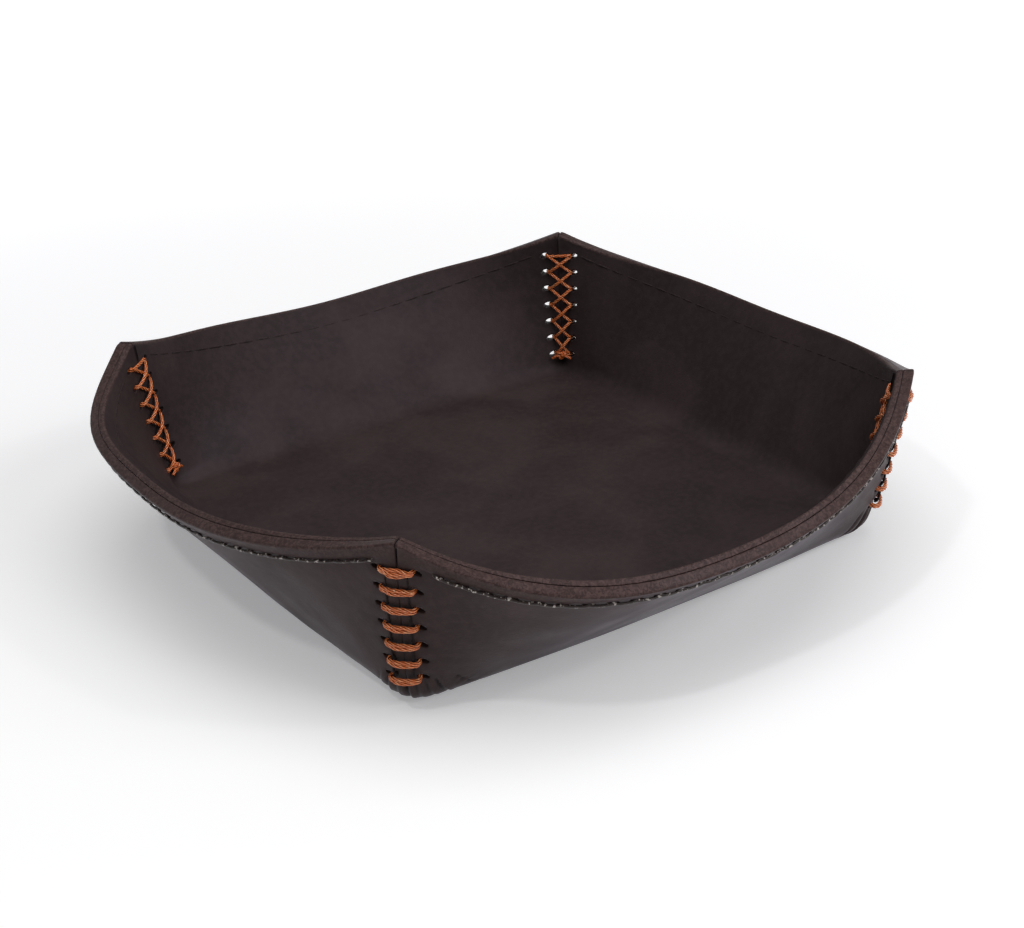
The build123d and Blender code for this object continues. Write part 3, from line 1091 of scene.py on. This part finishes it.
def waxed_lace(name):
    """Painted shade in the grooves between the plies, orange on their sides, and a painted highlight on their
    backs.
    """
    material, tree, shader, place = start_material(name)
    crown = attribute(tree, "crown")
    fibre = levels(tree, noise(tree, place, 1300.0, 3.0, 0.5), 0.42, 0.64, 0.08, 1.00)
    # Painted shade in the grooves and a painted highlight on the plies' backs, both from how far a point lies
    # from the thread's middle.
    body = mix(tree, levels(tree, crown, 0.0, 0.60), painted_groove_shade, side_tone)
    painted_highlight_share = mix(tree, levels(tree, crown, 0.60, 1.0), (0.0, 0.0, 0.0), fibre)
    tree.links.new(mix(tree, painted_highlight_share, body, painted_highlight_tone), shader.inputs["Base Color"])
    shader.inputs["Roughness"].default_value = 0.24
    shader.inputs["Specular IOR Level"].default_value = 0.6
    bump(tree, shader, [(noise(tree, place, 2400.0, 2.0), 0.4, 0.00006)])
    print(name, "nodes:", len(tree.nodes))
    return material


lace_finish = waxed_lace("waxed orange lace")
needle_tones = ((0.016, 0.010, 0.009), (0.055, 0.036, 0.032))
# The thread beside the corners is drawn darker than the needle thread: painted shade where it lies sunk.
edge_seam_shaded_tones = ((0.010, 0.007, 0.007), (0.024, 0.016, 0.016))
bobbin_tones = ((0.027, 0.018, 0.018), (0.040, 0.027, 0.027))
dull = dict(strength=0.3, specular=0.1, painted_glints=0.0)
seam_finishes = {
    "needle": thread("dark machine thread", needle_tones, 0.30, strength=0.4, specular=0.35, painted_glints=0.85),
    "edge": thread("dark machine thread, sunk, with painted shade", edge_seam_shaded_tones, 0.60, **dull),
    "bobbin": thread("machine thread in the lining", bobbin_tones, 0.55, **dull),
}


# %% Give every piece its finish
def finish_with(piece, material):
    piece.data.materials.clear()
    piece.data.materials.append(material)


finish_with(outer_leather, outer_finish)
finish_with(lining_leather, lining_finish)
for lace in laces:
    finish_with(lace, lace_finish)
for seam, kind in seams:
    finish_with(seam, seam_finishes[kind])
for ply, node in ((outer_leather, "outer_leather"), (lining_leather, "lining_leather")):
    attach(ply, "root")
    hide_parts(node)
print("finished pieces:", 2 + len(laces) + len(seams))

# %% [markdown]
# ## Floor, light and camera
# The photograph has a white surround, soft light from the right, and a soft shadow to the left and below. Two
# small lamps make the two highlights on the walls. Enough light to turn the ground white would wash out the
# leather, so the ground also glows a little by itself for camera and glossy rays, and the world is white for
# the camera alone. The camera stands near one corner, a little above the tray. Its angles and lens were fitted
# to the corners of the rim and of the floor.

# %% Floor
floor_drop = 0.0001
glow_start, glow_end = 0.10, 0.75
near_glow, far_glow = 0.28, 0.85
deselect()
bpy.ops.mesh.primitive_plane_add(size=6.0, location=(0, 0, 0))
floor = bpy.context.object
floor.name = "floor"
floor.data.transform(Matrix.Translation((0, 0, -floor_drop)))
floor_finish, tree, shader, place = start_material("pale floor")
tone = mix(tree, levels(tree, noise(tree, place, 3.0, 2.0), 0.3, 0.7), (0.86, 0.86, 0.87), (0.88, 0.88, 0.88))
tree.links.new(tone, shader.inputs["Base Color"])
shader.inputs["Roughness"].default_value = 0.9
shader.inputs["Specular IOR Level"].default_value = 0.1
away = tree.nodes.new("ShaderNodeVectorMath")
away.operation = "LENGTH"
tree.links.new(place, away.inputs[0])
rays = tree.nodes.new("ShaderNodeLightPath")
seen = tree.nodes.new("ShaderNodeMath")
seen.operation = "MAXIMUM"
tree.links.new(rays.outputs["Is Camera Ray"], seen.inputs[0])
tree.links.new(rays.outputs["Is Glossy Ray"], seen.inputs[1])
glow = tree.nodes.new("ShaderNodeMath")
glow.operation = "MULTIPLY"
tree.links.new(seen.outputs[0], glow.inputs[0])
distance_glow = levels(tree, away.outputs["Value"], glow_start, glow_end, near_glow, far_glow)
tree.links.new(distance_glow, glow.inputs[1])
shader.inputs["Emission Color"].default_value = (0.97, 0.975, 1.0, 1.0)
tree.links.new(glow.outputs[0], shader.inputs["Emission Strength"])
finish_with(floor, floor_finish)
print("floor:", floor.dimensions.x, "m wide, glowing more from", glow_start, "to", glow_end, "m out")

# %% Lights
world_light, world_seen = 0.24, 1.0
world = bpy.data.worlds.new("studio")
bpy.context.scene.world = world
world.use_nodes = True
tree = world.node_tree
background = tree.nodes["Background"]
background.inputs["Color"].default_value = (1.0, 1.0, 1.0, 1.0)
rays = tree.nodes.new("ShaderNodeLightPath")
strength = tree.nodes.new("ShaderNodeMapRange")
strength.inputs["To Min"].default_value = world_light
strength.inputs["To Max"].default_value = world_seen
tree.links.new(rays.outputs["Is Camera Ray"], strength.inputs["Value"])
tree.links.new(strength.outputs["Result"], background.inputs["Strength"])


def softbox(name, place, size, power):
    """A rectangular lamp that looks at the tray. Size in metres, power in watts."""
    light = bpy.data.lights.new(name, "AREA")
    light.shape = "RECTANGLE"
    light.size, light.size_y = size
    light.energy = power
    holder = bpy.data.objects.new(name, light)
    bpy.context.scene.collection.objects.link(holder)
    holder.location = place
    holder.rotation_mode = "QUATERNION"
    holder.rotation_quaternion = (-Vector(place)).to_track_quat("-Z", "Y")
    print(name, power, "W")


softbox("right softbox", (0.80, 0.50, 0.62), (0.7, 0.5), 4.1)
softbox("top softbox", (0.1, 0.1, 1.1), (1.0, 1.0), 4.9)
softbox("right glint", (0.78, 0.58, 0.68), (0.07, 0.07), 0.9)
softbox("front glint", (0.24, -0.55, 1.00), (0.08, 0.08), 1.3)

# %% Camera
photo_width, photo_height = 1024, 928
azimuth, elevation, roll = (math.radians(angle) for angle in (56.8, 23.71, -3.56))
distance = 0.38633
focal_pixels, centre_x, centre_y = 1820.58, 634.89, 450.22
target = Vector((0.01654, 0.02255, 0.015))
level_back = Vector((math.sin(azimuth), -math.cos(azimuth), 0)) * math.cos(elevation)
back = level_back + Vector((0, 0, math.sin(elevation)))
level_right = Vector((math.cos(azimuth), math.sin(azimuth), 0))
level_up = back.cross(level_right)
right = level_right * math.cos(roll) + level_up * math.sin(roll)
up = level_up * math.cos(roll) - level_right * math.sin(roll)
camera_data = bpy.data.cameras.new("camera")
camera = bpy.data.objects.new("camera", camera_data)
bpy.context.scene.collection.objects.link(camera)
turn = Matrix((right, up, back)).transposed().to_4x4()
camera.matrix_world = Matrix.Translation(target + back * distance) @ turn
camera_data.sensor_width = 36.0
camera_data.lens = focal_pixels / photo_width * camera_data.sensor_width
camera_data.shift_x = (photo_width / 2 - centre_x) / photo_width
camera_data.shift_y = (centre_y - photo_height / 2) / photo_width
camera_data.clip_start = 0.01
bpy.context.scene.camera = camera
bpy.context.scene.view_settings.view_transform = "Standard"
print("camera:", round(distance * 100, 1), "cm from its aim, lens", round(camera_data.lens, 1), "mm")
